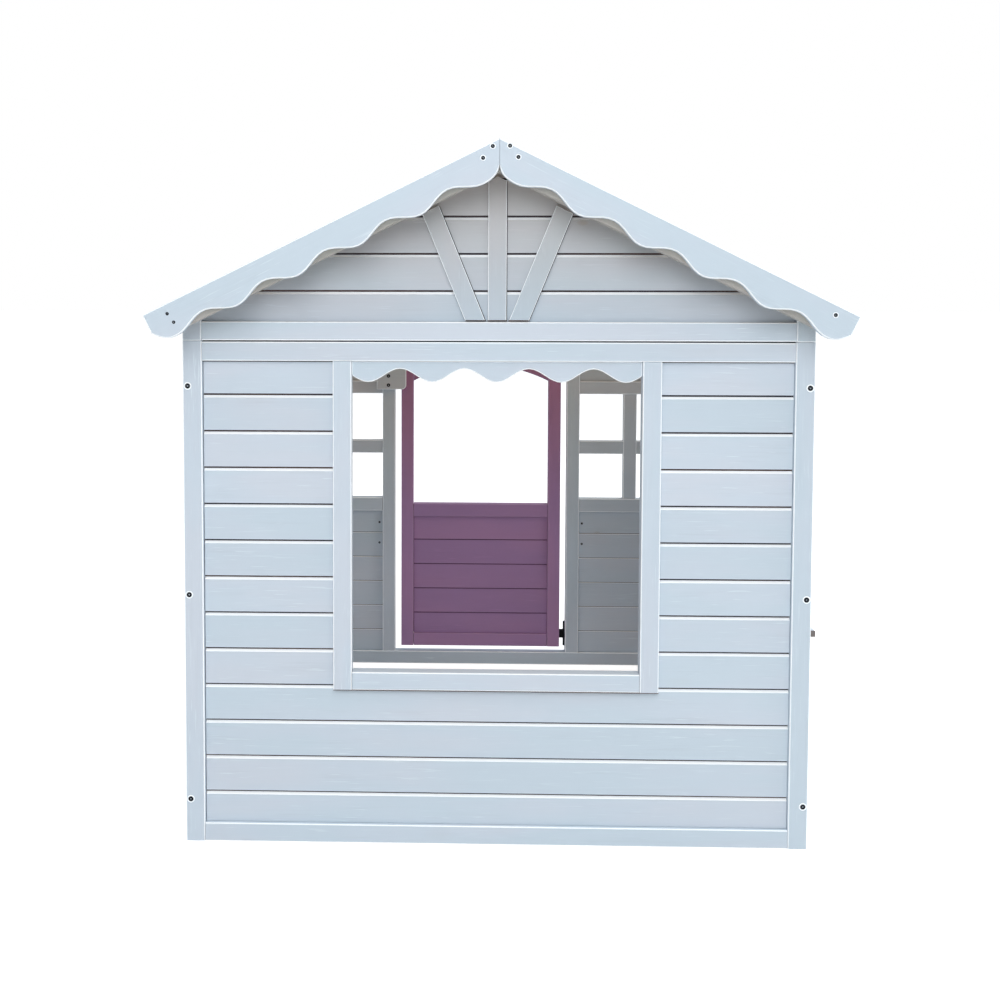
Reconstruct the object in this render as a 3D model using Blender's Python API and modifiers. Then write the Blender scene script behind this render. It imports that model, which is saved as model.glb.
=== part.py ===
"""Timber playhouse: four boarded walls under a gabled roof, with a half-height hinged door.

Metres, Z up. X runs across the gable walls and Y from the serving-window wall to the door wall.
The origin is on the ground, midway between the walls.
"""

import math

import bmesh
import bpy
from mathutils import Vector

# ---- overall sizes ----
WALL_WIDTH = 1.200  # across the gable walls, over the corner posts
WALL_DEPTH = 1.128  # front face of the window wall to outer face of the door wall
OVERHANG = 0.080  # bargeboard face beyond the wall face, at each gable
WALL_HEIGHT = 0.9751  # top of the corner posts
ROOF_ANGLE = math.radians(26.2)
RIDGE_HEIGHT = 1.3485  # top corner of the bargeboards
EAVES_X = 0.6557  # outermost top corner of the bargeboards

# ---- timber sections ----
MEMBER = 0.037  # face width of posts and rails
PANEL = 0.028  # thickness of posts and rails
BOARD = 0.010  # thickness of the wall boards
INSET = (PANEL - BOARD) / 2  # boards sit midway in the frame
PITCH = 0.0706  # cover height of one wall board
FIRST_JOINT = 0.0978  # height of the lowest joint between wall boards
VEE_WIDTH = 0.005
VEE_DEPTH = 0.0025
EDGE = 0.0015  # eased edge on sawn timbers
GAP = 0.0004  # clearance between pieces that touch
RAIL_TOP = 0.036  # top of the bottom rails
TOP_RAIL_Z = 0.9375

# ---- serving window in the front wall ----
WINDOW_HALF = 0.2765
WINDOW_POST = 0.036
WINDOW_FOOT = 0.302
WINDOW_SILL_TOP = 0.3365
VALANCE_MID = 0.910
VALANCE_WAVE = 0.0128
VALANCE_PERIODS = 4.5
VALANCE_STEPS = 72  # straight lengths along its wavy edge
VALANCE_THICK = 0.012
VALANCE_INSET = 0.006

# ---- front gable ----
GABLE_RAIL_TOP = 1.0125
GABLE_JOINT = 1.0728
GABLE_PITCH = 0.07055
TRIM = 0.0175  # half width of the king post and braces
TRIM_THICK = INSET - GAP
BRACE_FOOT_X = 0.041
BRACE_HEAD_X = 0.1296
BRACE_HEAD_Z = 1.232
TRIM_DROP = 0.002  # trims stop this far under the rafters
TRIM_LIFT = 0.0012  # open joint under the feet of the trims

# ---- roof ----
BARGE_THICK = 0.015
BARGE_MEAN = 0.05225  # mean depth of the bargeboard below its top edge
BARGE_WAVE = 0.00975
BARGE_PERIOD = 0.1252
BARGE_FIRST_LOBE = 0.0406
BARGE_LOBES = 5  # whole periods from the first lobe to the last
BARGE_TIP_CUT = 0.038  # depth of the square cut at the eaves end
BARGE_TIP_RUN = 0.036  # length of the rounded corner that follows it
BARGE_ARCH_Z = 1.302  # where the two lower edges meet under the ridge
BARGE_STEPS = 60  # straight lengths along one scalloped edge
CORNER_STEPS = 6  # straight lengths round one corner
ARCH_STEPS = 8
DECK_DROP = 0.001
DECK_THICK = 0.012
DECK_BOARD = 0.0805  # cover width of one roof board
DECK_JOINTS = 8
RAFTER_DEPTH = 0.040
RAFTER_THICK = 0.028
RAFTER_BACK = 0.036  # rafters end this far up the slope from the bargeboard tips
MITRE_GAP = 0.0003

# ---- door wall ----
DOORWAY_HALF = 0.244
DOOR_POST = 0.0363
BACK_SILL_Z = 0.443
BACK_SILL_TOP = 0.481
PANE_MID_Z = (0.609, 0.6465)
PANE_MID_X = (0.405, 0.442)
PANE_TOP = 0.780
BACK_HEAD_TOP = 0.8164
LATTICE_THICK = 0.022
STOP_X = (-0.296, -0.213)
STOP_Z = (0.793, 0.853)
STOP_THICK = 0.016
STOP_RADIUS = 0.012

# ---- right side window and its counter; the left one matches the front window ----
COUNTER_Z = FIRST_JOINT + 4 * PITCH + GAP
COUNTER_THICK = 0.0128
COUNTER_X = 0.6438
COUNTER_HALF = 0.452

# ---- flower boxes ----
FLOWER_X = (0.284, 0.560)
FLOWER_OUT = 0.0795  # how far the boxes stand out from the door wall
FLOWER_Z = (0.330, 0.430)
FLOWER_WALL = 0.009

# ---- door ----
DOOR_HALF = 0.2268
DOOR_Z = (0.0527, 0.925)
DOOR_STILE = 0.035
DOOR_RAIL_TOP = 0.0886
DOOR_MID = (0.4264, 0.4638)
DOOR_JOINT = 0.1483
DOOR_PITCH = 0.0708
ARCH_SPRING = 0.8165
ARCH_RISE = 0.0455

# ---- tee hinges ----
HINGE_X = 0.2435
HINGE_STAND = 0.0044  # pin centre beyond the door's outer face
HINGE_Z = (0.083, 0.895)
HINGE_HEIGHT = 0.071
KNUCKLE = 0.0262  # height of the strap's knuckle
BARREL_RADIUS = 0.004
PIN_RADIUS = 0.002
LEAF_THICK = 0.002
LEAF_X = 0.2785
STRAP_LENGTH = 0.150
STRAP_TIP = 0.006

HALF_X = WALL_WIDTH / 2
FRONT = -WALL_DEPTH / 2
BACK = WALL_DEPTH / 2
POST_X = HALF_X - MEMBER
SIDE_X = HALF_X - PANEL
INNER_Y = BACK - PANEL
COS = math.cos(ROOF_ANGLE)
SIN = math.sin(ROOF_ANGLE)
TAN = math.tan(ROOF_ANGLE)
EAVES_Z = RIDGE_HEIGHT - TAN * EAVES_X
DECK_BOTTOM = DECK_DROP + DECK_THICK
RAFTER_TOP = DECK_BOTTOM + GAP
RAFTER_BOTTOM = RAFTER_TOP + RAFTER_DEPTH

for old in list(bpy.data.objects):
    bpy.data.objects.remove(old, do_unlink=True)

HOUSE = bpy.data.collections.new("playhouse")
TOOLS = bpy.data.collections.new("cutters")
for group in (HOUSE, TOOLS):
    bpy.context.scene.collection.children.link(group)


def material(name, colour, roughness, metallic=0.0):
    made = bpy.data.materials.new(name)
    made.use_nodes = True
    shader = made.node_tree.nodes["Principled BSDF"]
    shader.inputs["Base Color"].default_value = (*colour, 1.0)
    shader.inputs["Roughness"].default_value = roughness
    shader.inputs["Metallic"].default_value = metallic
    return made


WHITE = material("white_paint", (0.66, 0.72, 0.79), 0.55)
PURPLE = material("purple_paint", (0.45, 0.23, 0.42), 0.55)
BLACK = material("black_hinge", (0.02, 0.02, 0.02), 0.45, 0.8)


def empty(name, location, parent=None):
    made = bpy.data.objects.new(name, None)
    made.location = location
    made.parent = parent
    HOUSE.objects.link(made)
    return made


ROOT = empty("playhouse_root", (0, 0, 0))
DOOR = empty("door_axis", (HINGE_X, BACK + HINGE_STAND, 0), ROOT)


def place(piece, centre, paint, parent):
    """Links a finished piece under its parent, with its own origin at the given world point."""
    (HOUSE if paint else TOOLS).objects.link(piece)
    piece.location = Vector(centre) - (parent.location if parent else Vector())
    piece.parent = parent
    if paint:
        piece.data.materials.append(paint)
    else:
        piece.hide_render = True
        piece.display_type = "WIRE"
    return piece


def ease(piece, width=EDGE):
    bevel = piece.modifiers.new("eased_edges", "BEVEL")
    bevel.width = width
    bevel.segments = 1
    bevel.limit_method = "ANGLE"
    bevel.angle_limit = math.radians(50)
    return piece


def box(name, x, y, z, paint=WHITE, parent=ROOT, edge=EDGE):
    """A sawn timber between three pairs of limits."""
    spans = [sorted(pair) for pair in (x, y, z)]
    size = [high - low for low, high in spans]
    mesh = bpy.data.meshes.new(name)
    work = bmesh.new()
    bmesh.ops.create_cube(work, size=1.0)
    bmesh.ops.scale(work, vec=size, verts=work.verts)
    work.to_mesh(mesh)
    work.free()
    centre = [(low + high) / 2 for low, high in spans]
    piece = place(bpy.data.objects.new(name, mesh), centre, paint, parent)
    return ease(piece, edge) if edge else piece


def slab(name, outline, span, along="y", paint=WHITE, parent=ROOT):
    """A flat outline given its thickness. Outlines are (x, z) along Y, or (y, z) along X."""
    low, high = sorted(span)
    flat = bpy.data.curves.new(name, "CURVE")
    flat.dimensions = "2D"
    flat.fill_mode = "BOTH"
    flat.extrude = (high - low) / 2
    spline = flat.splines.new("POLY")
    spline.points.add(len(outline) - 1)
    mid = [(min(axis) + max(axis)) / 2 for axis in zip(*outline)]
    for point, (across, up) in zip(spline.points, outline):
        point.co = (across - mid[0], up - mid[1], 0, 1)
    spline.use_cyclic_u = True
    drawn = bpy.data.objects.new(name + "_outline", flat)
    mesh = bpy.data.meshes.new_from_object(drawn)
    bpy.data.objects.remove(drawn)
    bpy.data.curves.remove(flat)
    mesh.name = name
    work = bmesh.new()
    work.from_mesh(mesh)
    bmesh.ops.remove_doubles(work, verts=work.verts, dist=1e-6)
    work.to_mesh(mesh)
    work.free()
    between = (low + high) / 2
    centre = (mid[0], between, mid[1]) if along == "y" else (between, mid[0], mid[1])
    piece = bpy.data.objects.new(name, mesh)
    piece.rotation_euler = (math.pi / 2, 0, 0 if along == "y" else math.pi / 2)
    return place(piece, centre, paint, parent)


def rod(name, centre, radius, height, paint=None, parent=None, sides=32):
    """An upright round bar."""
    mesh = bpy.data.meshes.new(name)
    work = bmesh.new()
    bmesh.ops.create_cone(work, cap_ends=True, segments=sides, radius1=radius, radius2=radius, depth=height)
    work.to_mesh(mesh)
    work.free()
    mesh.shade_smooth()
    return place(bpy.data.objects.new(name, mesh), centre, paint, parent)


def combine(piece, other, operation):
    step = piece.modifiers.new(operation.lower(), "BOOLEAN")
    step.operation = operation
    step.solver = "EXACT"
    step.object = other


def joints_between(low, high, first=FIRST_JOINT, pitch=PITCH):
    """Heights of the board joints that fall clear of both limits."""
    count = int((high - first) / pitch) + 1
    return [first + pitch * k for k in range(count) if low + VEE_WIDTH < first + pitch * k < high - VEE_WIDTH]


def board_outline(near, low, high, joints, thickness=BOARD):
    """Section through a run of boards, with a vee at every joint on both faces."""
    far = near + thickness
    points = [(near, low)]
    for z in joints:
        points += [(near, z - VEE_WIDTH / 2), (near + VEE_DEPTH, z), (near, z + VEE_WIDTH / 2)]
    points += [(near, high), (far, high)]
    for z in reversed(joints):
        points += [(far, z + VEE_WIDTH / 2), (far - VEE_DEPTH, z), (far, z - VEE_WIDTH / 2)]
    return points + [(far, low)]


def boards_x(name, x, near, z, joints=None, paint=WHITE, parent=ROOT):
    """Boards that run along X, with their faces towards Y."""
    rows = joints_between(*z) if joints is None else joints
    return slab(name, board_outline(near, *z, rows), x, "x", paint, parent)


def boards_y(name, y, near, z):
    """Boards that run along Y, with their faces towards X."""
    return slab(name, board_outline(near, *z, joints_between(*z)), y, "y")


def opening(piece, across, foot, along="x"):
    """Cuts a window out of a boarded wall, from the given height up through its top edge."""
    deep = 2 * HALF_X + PANEL
    sides = (across, (-deep, deep)) if along == "x" else ((-deep, deep), across)
    combine(piece, box(piece.name + "_window", *sides, (foot, 2 * WALL_HEIGHT), None, None, 0), "DIFFERENCE")
    return piece


def both_sides(name, maker):
    """Makes a left and a right piece. The maker takes a name and the side's sign."""
    return [maker(name + "_left", -1), maker(name + "_right", 1)]


def slope(along, depth, side):
    """A point on the roof: along from the eaves tip, and depth square below the bargeboard's top edge."""
    x = EAVES_X - along * COS - depth * SIN
    return (side * x, EAVES_Z + along * SIN - depth * COS)


def mitre(depth, side, gap=MITRE_GAP):
    """The point at the given depth where a roof piece is cut upright at the ridge."""
    return slope((EAVES_X - depth * SIN - gap) / COS, depth, side)


def roof_z(x, depth):
    return RIDGE_HEIGHT - depth / COS - TAN * abs(x)


# ---- front wall, with the serving window ----
front_y = (FRONT, FRONT + PANEL)
front_boards = FRONT + INSET
both_sides("front_post", lambda n, k: box(n, (k * POST_X, k * HALF_X), front_y, (0, WALL_HEIGHT)))
box("front_bottom_rail", (-POST_X + GAP, POST_X - GAP), front_y, (0, RAIL_TOP))
box("front_top_rail", (-POST_X + GAP, POST_X - GAP), front_y, (TOP_RAIL_Z, WALL_HEIGHT))
window_out = WINDOW_HALF + WINDOW_POST
window_across = (-window_out - GAP, window_out + GAP)
wall_z = (RAIL_TOP + GAP, TOP_RAIL_Z - GAP)
front_run = boards_x("front_boards", (-POST_X + GAP, POST_X - GAP), front_boards, wall_z)
opening(front_run, window_across, WINDOW_FOOT - GAP)
high_z = (WINDOW_FOOT, TOP_RAIL_Z - GAP)
both_sides("front_window_post", lambda n, k: box(n, (k * WINDOW_HALF, k * window_out), front_y, high_z))
box("front_window_sill", (-WINDOW_HALF + GAP, WINDOW_HALF - GAP), front_y, (WINDOW_FOOT, WINDOW_SILL_TOP))

valance_half = WINDOW_HALF - GAP
valance = [(-valance_half, TOP_RAIL_Z - GAP)]
for i in range(VALANCE_STEPS + 1):
    turn = 2 * math.pi * VALANCE_PERIODS * i / VALANCE_STEPS
    across = valance_half * (2 * i / VALANCE_STEPS - 1)
    valance.append((across, VALANCE_MID - VALANCE_WAVE * math.sin(turn)))
valance.append((valance_half, TOP_RAIL_Z - GAP))
slab("front_valance", valance, (FRONT + VALANCE_INSET, FRONT + VALANCE_INSET + VALANCE_THICK))

# ---- front gable ----
gable_x = POST_X + GAP
gable_z = WALL_HEIGHT + GAP
box("front_gable_rail", (-gable_x, gable_x), front_y, (gable_z, GABLE_RAIL_TOP))


def gable_boards(name, near, bottom, joints):
    piece = boards_x(name, (-gable_x, gable_x), near, (bottom, RIDGE_HEIGHT), joints)
    reach = EAVES_X + PANEL
    sky = [(0, roof_z(0, RAFTER_TOP)), (-reach, roof_z(reach, RAFTER_TOP)), (-reach, 2 * RIDGE_HEIGHT)]
    sky += [(reach, 2 * RIDGE_HEIGHT), (reach, roof_z(reach, RAFTER_TOP))]
    over = slab(name + "_sky", sky, (near - PANEL, near + 2 * PANEL), paint=None, parent=None)
    combine(piece, over, "DIFFERENCE")
    return piece


gable_joints = [GABLE_JOINT + GABLE_PITCH * k for k in range(4)]
gable_boards("front_gable_boards", front_boards, GABLE_RAIL_TOP + GAP, gable_joints)

trim_y = (FRONT, FRONT + TRIM_THICK)
trim_low = GABLE_RAIL_TOP + TRIM_LIFT
trim_depth = RAFTER_BOTTOM + TRIM_DROP
shoulder = roof_z(TRIM, trim_depth)
king = [(-TRIM, trim_low), (TRIM, trim_low), (TRIM, shoulder), (0, roof_z(0, trim_depth)), (-TRIM, shoulder)]
slab("front_king_post", king, trim_y)


def brace(name, side):
    """A strip leaning outwards from the king post's foot, cut level below and to the roof slope above."""
    run = (BRACE_HEAD_X - BRACE_FOOT_X) / (BRACE_HEAD_Z - trim_low)
    half = TRIM * math.hypot(1, run)
    top = roof_z(0, trim_depth)
    outline = []
    for edge in (-half, half):
        foot = BRACE_FOOT_X + edge
        rise = (top - TAN * foot - trim_low) / (1 + TAN * run)
        outline += [(side * foot, trim_low), (side * (foot + run * rise), trim_low + rise)]
    return slab(name, [outline[0], outline[2], outline[3], outline[1]], trim_y)


both_sides("front_brace", brace)


# ---- eaves plates along the side walls ----
def eaves_plate(name, side):
    inner = POST_X + 2 * GAP
    feet = [(side * inner, gable_z), (side * HALF_X, gable_z)]
    heads = [(side * x, roof_z(x, RAFTER_TOP)) for x in (HALF_X, inner)]
    return slab(name, feet + heads, (FRONT, BACK))


both_sides("eaves_plate", eaves_plate)

# ---- door wall ----
back_y = (INNER_Y, BACK)
back_boards = INNER_Y + INSET
post_out = DOORWAY_HALF + DOOR_POST
pane_x = (post_out + GAP, POST_X - GAP)
both_sides("back_post", lambda n, k: box(n, (k * POST_X, k * HALF_X), back_y, (0, WALL_HEIGHT)))
box("back_bottom_rail", (-POST_X + GAP, POST_X - GAP), back_y, (0, RAIL_TOP))
box("back_top_rail", (-POST_X + GAP, POST_X - GAP), back_y, (TOP_RAIL_Z, WALL_HEIGHT))
post_z = (RAIL_TOP + GAP, TOP_RAIL_Z - GAP)
both_sides("back_door_post", lambda n, k: box(n, (k * DOORWAY_HALF, k * post_out), back_y, post_z))


def sided(pair, side):
    return (side * pair[0], side * pair[1])


low_z = (RAIL_TOP + GAP, BACK_SILL_Z - GAP)
both_sides("back_boards", lambda n, k: boards_x(n, sided(pane_x, k), back_boards, low_z))
both_sides("back_sill", lambda n, k: box(n, sided(pane_x, k), back_y, (BACK_SILL_Z, BACK_SILL_TOP)))


def lattice(name, side):
    """The glazing bars of one open four-pane window."""
    low, high = BACK_SILL_TOP + GAP, PANE_TOP - GAP
    (x0, x3), (x1, x2) = pane_x, PANE_MID_X
    z1, z2 = PANE_MID_Z
    cross = [(x1, low), (x2, low), (x2, z1), (x3, z1), (x3, z2), (x2, z2)]
    cross += [(x2, high), (x1, high), (x1, z2), (x0, z2), (x0, z1), (x1, z1)]
    inset = (PANEL - LATTICE_THICK) / 2
    return slab(name, [(side * x, z) for x, z in cross], (INNER_Y + inset, BACK - inset))


both_sides("back_lattice", lattice)


def window_head(name, side):
    """The rail over a four-pane window with the boards that fill in above it."""
    top = TOP_RAIL_Z - GAP
    near, far = back_boards, back_boards + BOARD
    outline = [(INNER_Y, PANE_TOP), (INNER_Y, BACK_HEAD_TOP)]
    outline += board_outline(near, BACK_HEAD_TOP, top, joints_between(BACK_HEAD_TOP, top))
    outline += [(BACK, BACK_HEAD_TOP), (BACK, PANE_TOP)]
    return slab(name, outline, sided(pane_x, side), "x")


both_sides("back_window_head", window_head)
gable_boards("back_gable_boards", back_boards, gable_z, [GABLE_JOINT - GABLE_PITCH] + gable_joints)


def corner_arc(centre, radius, start, stop, count=CORNER_STEPS):
    turns = [math.radians(start + (stop - start) * i / count) for i in range(count + 1)]
    return [(centre[0] + radius * math.cos(t), centre[1] + radius * math.sin(t)) for t in turns]


stop = [(STOP_X[0], STOP_Z[1]), (STOP_X[0], STOP_Z[0])]
stop += corner_arc((STOP_X[1] - STOP_RADIUS, STOP_Z[0] + STOP_RADIUS), STOP_RADIUS, -90, 0)
stop += [(STOP_X[1], STOP_Z[1])]
slab("back_door_stop", stop, (INNER_Y - GAP - STOP_THICK, INNER_Y - GAP))

# ---- side walls: a sill under the left window, and a counter under the right one ----
side_y = (FRONT + PANEL + GAP, INNER_Y - GAP)
board_out = HALF_X - INSET
side_z = (0, WALL_HEIGHT)
counter_top = COUNTER_Z + COUNTER_THICK
left_x = (-HALF_X, -SIDE_X)
right_x = (SIDE_X, HALF_X)
opening(boards_y("left_boards", side_y, -board_out, side_z), window_across, WINDOW_FOOT - GAP, "y")
box("left_window_sill", left_x, (-WINDOW_HALF + GAP, WINDOW_HALF - GAP), (WINDOW_FOOT, WINDOW_SILL_TOP))
counter_across = (-COUNTER_HALF - GAP, COUNTER_HALF + GAP)
opening(boards_y("right_boards", side_y, board_out - BOARD, side_z), counter_across, COUNTER_Z - GAP, "y")
box("right_counter", (SIDE_X, COUNTER_X), (-COUNTER_HALF, COUNTER_HALF), (COUNTER_Z, counter_top))
for label, k in (("front", -1), ("back", 1)):
    post = (k * WINDOW_HALF, k * window_out)
    box("left_window_post_" + label, left_x, post, (WINDOW_FOOT, WALL_HEIGHT))
    post = (k * (COUNTER_HALF - WINDOW_POST), k * COUNTER_HALF)
    box("right_window_post_" + label, right_x, post, (counter_top + GAP, WALL_HEIGHT))


def flower_box(name, side):
    """An open trough screwed to the boards under a window."""
    near = back_boards + BOARD + GAP
    far = BACK + FLOWER_OUT
    piece = box(name, sided(FLOWER_X, side), (near, far), FLOWER_Z, edge=0)
    inner_x = (FLOWER_X[0] + FLOWER_WALL, FLOWER_X[1] - FLOWER_WALL)
    inner_y = (near + FLOWER_WALL, far - FLOWER_WALL)
    inner_z = (FLOWER_Z[0] + FLOWER_WALL, FLOWER_Z[1] + FLOWER_WALL)
    hollow = box(name + "_hollow", sided(inner_x, side), inner_y, inner_z, None, None, 0)
    combine(piece, hollow, "DIFFERENCE")
    return piece


both_sides("flower_box", flower_box)


# ---- roof ----
def deck(name, side):
    """One slope of roof boards, running along the ridge, with a vee on top at every joint."""
    start = DECK_DROP
    points = [slope(start, DECK_BOTTOM, side), slope(start, DECK_DROP, side)]
    for k in range(DECK_JOINTS):
        s = start + DECK_BOARD * (k + 1)
        points.append(slope(s - VEE_WIDTH / 2, DECK_DROP, side))
        points.append(slope(s, DECK_DROP + VEE_DEPTH, side))
        points.append(slope(s + VEE_WIDTH / 2, DECK_DROP, side))
    points += [mitre(DECK_DROP, side), mitre(DECK_BOTTOM, side)]
    ends = OVERHANG + BACK - BARGE_THICK - GAP
    return slab(name, points, (-ends, ends))


both_sides("roof_deck", deck)


def barge_outline(side):
    """A bargeboard: straight on top, scalloped below, rounded at the eaves, with half an arch at the ridge."""
    wave = 2 * math.pi / BARGE_PERIOD
    last = BARGE_FIRST_LOBE + BARGE_LOBES * BARGE_PERIOD

    def depth(s):
        return BARGE_MEAN + BARGE_WAVE * math.cos(wave * (s - BARGE_FIRST_LOBE))

    points = [mitre(0, side), slope(0, 0, side)]
    for i in range(CORNER_STEPS + 1):
        t = i / CORNER_STEPS
        corner_depth = BARGE_TIP_CUT + (depth(BARGE_TIP_RUN) - BARGE_TIP_CUT) * (1 - (1 - t) ** 2)
        points.append(slope(BARGE_TIP_RUN * t, corner_depth, side))
    for i in range(1, BARGE_STEPS + 1):
        s = BARGE_TIP_RUN + (last - BARGE_TIP_RUN) * i / BARGE_STEPS
        points.append(slope(s, depth(s), side))
    start = slope(last, depth(last), 1)
    pull = (BARGE_ARCH_Z - start[1]) / 2
    hull = [start, (start[0] - pull * COS, start[1] + pull * SIN), (MITRE_GAP, BARGE_ARCH_Z - pull)]
    hull.append((MITRE_GAP, BARGE_ARCH_Z))
    for i in range(1, ARCH_STEPS + 1):
        t = i / ARCH_STEPS
        weights = ((1 - t) ** 3, 3 * t * (1 - t) ** 2, 3 * t * t * (1 - t), t**3)
        x, z = (sum(w * p[axis] for w, p in zip(weights, hull)) for axis in (0, 1))
        points.append((side * x, z))
    return points


face = BACK + OVERHANG
rafter = [slope(RAFTER_BACK, RAFTER_TOP, -1), (0, roof_z(0, RAFTER_TOP)), slope(RAFTER_BACK, RAFTER_TOP, 1)]
lower = [slope(RAFTER_BACK, RAFTER_BOTTOM, side) for side in (1, -1)]
rafter += [lower[0], (0, roof_z(0, RAFTER_BOTTOM)), lower[1]]
for label, k in (("front", -1), ("back", 1)):
    span = (k * (face - BARGE_THICK), k * face)
    both_sides(label + "_bargeboard", lambda n, side: slab(n, barge_outline(side), span))
    behind = face - BARGE_THICK - GAP
    slab(label + "_rafters", rafter, (k * (behind - RAFTER_THICK), k * behind))

# ---- door, hung on the door axis ----
inner = DOOR_HALF - DOOR_STILE
rail_x = (-inner + GAP, inner - GAP)
both_sides("door_stile", lambda n, k: box(n, (k * inner, k * DOOR_HALF), back_y, DOOR_Z, PURPLE, DOOR))
box("door_bottom_rail", rail_x, back_y, (DOOR_Z[0], DOOR_RAIL_TOP), PURPLE, DOOR)
box("door_mid_rail", rail_x, back_y, DOOR_MID, PURPLE, DOOR)
door_z = (DOOR_RAIL_TOP + GAP, DOOR_MID[0] - GAP)
door_joints = joints_between(*door_z, DOOR_JOINT, DOOR_PITCH)
boards_x("door_boards", rail_x, back_boards, door_z, door_joints, PURPLE, DOOR)

arch_radius = (inner**2 + ARCH_RISE**2) / (2 * ARCH_RISE)
spread = math.degrees(math.asin(rail_x[1] / arch_radius))
crown = (0, ARCH_SPRING + ARCH_RISE - arch_radius)
head = corner_arc(crown, arch_radius, 90 + spread, 90 - spread, 24)
slab("door_head", head + [(rail_x[1], DOOR_Z[1]), (rail_x[0], DOOR_Z[1])], back_y, paint=PURPLE, parent=DOOR)

# ---- tee hinges on the outer faces of the door and its right-hand post ----
axis_y = BACK + HINGE_STAND
leaf_y = (BACK + GAP, BACK + GAP + LEAF_THICK)


def hinge_leaf(name, z):
    """The plate on the door post, with its two outer knuckles and the pin."""
    half = HINGE_HEIGHT / 2
    piece = box(name, (HINGE_X, LEAF_X), leaf_y, (z - half, z + half), BLACK, ROOT, 0)
    rise = KNUCKLE / 2 + GAP
    notch_x = (HINGE_X - PANEL, HINGE_X + BARREL_RADIUS + GAP)
    notch_y = (BACK - PANEL, BACK + PANEL)
    notch = box(name + "_notch", notch_x, notch_y, (z - rise, z + rise), None, None, 0)
    combine(piece, notch, "DIFFERENCE")
    height = half - rise
    for label, k in (("low", -1), ("high", 1)):
        centre = (HINGE_X, axis_y, z + k * (rise + height / 2))
        combine(piece, rod(name + "_knuckle_" + label, centre, BARREL_RADIUS, height), "UNION")
    pin_height = HINGE_HEIGHT - 2 * EDGE
    combine(piece, rod(name + "_pin", (HINGE_X, axis_y, z), PIN_RADIUS, pin_height), "UNION")
    return piece


def hinge_strap(name, z):
    """The tapered strap on the door, with its middle knuckle bored for the pin."""
    half = KNUCKLE / 2
    tip_x = HINGE_X - STRAP_LENGTH
    outline = [(HINGE_X, z + half), (tip_x, z + STRAP_TIP)]
    outline += corner_arc((tip_x, z), STRAP_TIP, 90, 270, 8)[1:]
    outline += [(HINGE_X, z - half)]
    piece = slab(name, outline, leaf_y, paint=BLACK, parent=DOOR)
    centre = (HINGE_X, axis_y, z)
    combine(piece, rod(name + "_knuckle", centre, BARREL_RADIUS, KNUCKLE), "UNION")
    combine(piece, rod(name + "_bore", centre, PIN_RADIUS + GAP, 2 * KNUCKLE), "DIFFERENCE")
    return piece


for label, z in zip(("low", "high"), HINGE_Z):
    hinge_leaf("hinge_leaf_" + label, z)
    hinge_strap("hinge_strap_" + label, z)
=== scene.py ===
import math
import random

import bmesh
import bpy
from mathutils import Matrix, Vector


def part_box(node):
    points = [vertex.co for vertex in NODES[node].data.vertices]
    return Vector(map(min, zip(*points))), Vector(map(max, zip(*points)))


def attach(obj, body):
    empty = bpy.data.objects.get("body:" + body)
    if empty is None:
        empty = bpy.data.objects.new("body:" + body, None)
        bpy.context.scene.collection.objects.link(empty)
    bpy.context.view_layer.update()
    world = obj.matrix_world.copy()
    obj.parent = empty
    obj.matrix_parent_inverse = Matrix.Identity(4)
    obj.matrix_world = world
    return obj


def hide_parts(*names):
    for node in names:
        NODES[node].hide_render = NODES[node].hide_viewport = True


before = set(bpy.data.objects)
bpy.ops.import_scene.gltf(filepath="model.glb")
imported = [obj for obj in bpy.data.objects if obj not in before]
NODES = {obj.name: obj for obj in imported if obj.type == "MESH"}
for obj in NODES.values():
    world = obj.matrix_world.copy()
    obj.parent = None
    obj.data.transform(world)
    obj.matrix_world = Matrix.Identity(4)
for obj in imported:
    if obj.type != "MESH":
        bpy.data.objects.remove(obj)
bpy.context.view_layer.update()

SCENE = bpy.context.scene
random.seed(7)

# ---- places that come from the CAD ----
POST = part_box("front_post_right")
FRONT_Y = POST[0].y
BACK_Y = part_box("back_post_right")[1].y
HALF_X = POST[1].x
WALL_TOP = POST[1].z
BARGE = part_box("front_bargeboard_right")
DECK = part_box("roof_deck_right")

# ---- boards, in metres ----
PITCH = 0.0706  # from joint to joint on the walls
FIRST_JOINT = 0.0978  # height of the lowest joint
GABLE_PITCH = 0.07055
GABLE_JOINT = 1.0728  # height of one joint on the gables
GABLE_JOINTS = range(-1, 4)  # steps from that joint to the others
DOOR_PITCH = 0.0708
DOOR_JOINT = 0.1483
DECK_BOARD = 0.0805
DECK_BOARDS = 9  # on each slope; the one at the ridge is a little wider
DECK_THICKNESS = 0.012
HEAD_THICKNESS = 0.010  # of the boards over the door wall's windows
SHADOW_GAP = 0.0036  # open joint above each board's chamfer, outside
CHAMFER = 0.0046
CHAMFER_DEPTH = 0.0038
INNER_GAP = 0.0018
INNER_CHAMFER = 0.0014
TONGUE = 0.005
TONGUE_FACES = (0.44, 0.70)  # the tongue's outer and inner face, as parts of the thickness
GROOVE_SLACK = 0.0004
SAW_SLACK = 0.0004  # how much one board may be shorter than the next
LEAST_BOARD = 0.005  # a run has no joint closer than this to its foot or top
END_GAP = 0.0008  # open joint where a board or rail meets a post
HAIR = 0.0003  # gap between neighbouring solids
ROOF_ANGLE = math.radians(26.2)

# ---- rounded edges ----
ROUND = 0.0019  # of a planed timber
THIN_ROUND = 0.0012  # of a thin strip or board
BLOCK_ROUND = 0.0015
BARGE_ROUND = 0.0024
VALANCE_ROUND = 0.0020
STRIP_ROUND = 0.0001  # of the dark strips inside open joints
BEVEL_ANGLE = math.radians(50)  # sharper edges than this are rounded
BEVEL_STEPS = 3
WELD = 1e-5  # corners closer than this are one

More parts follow.
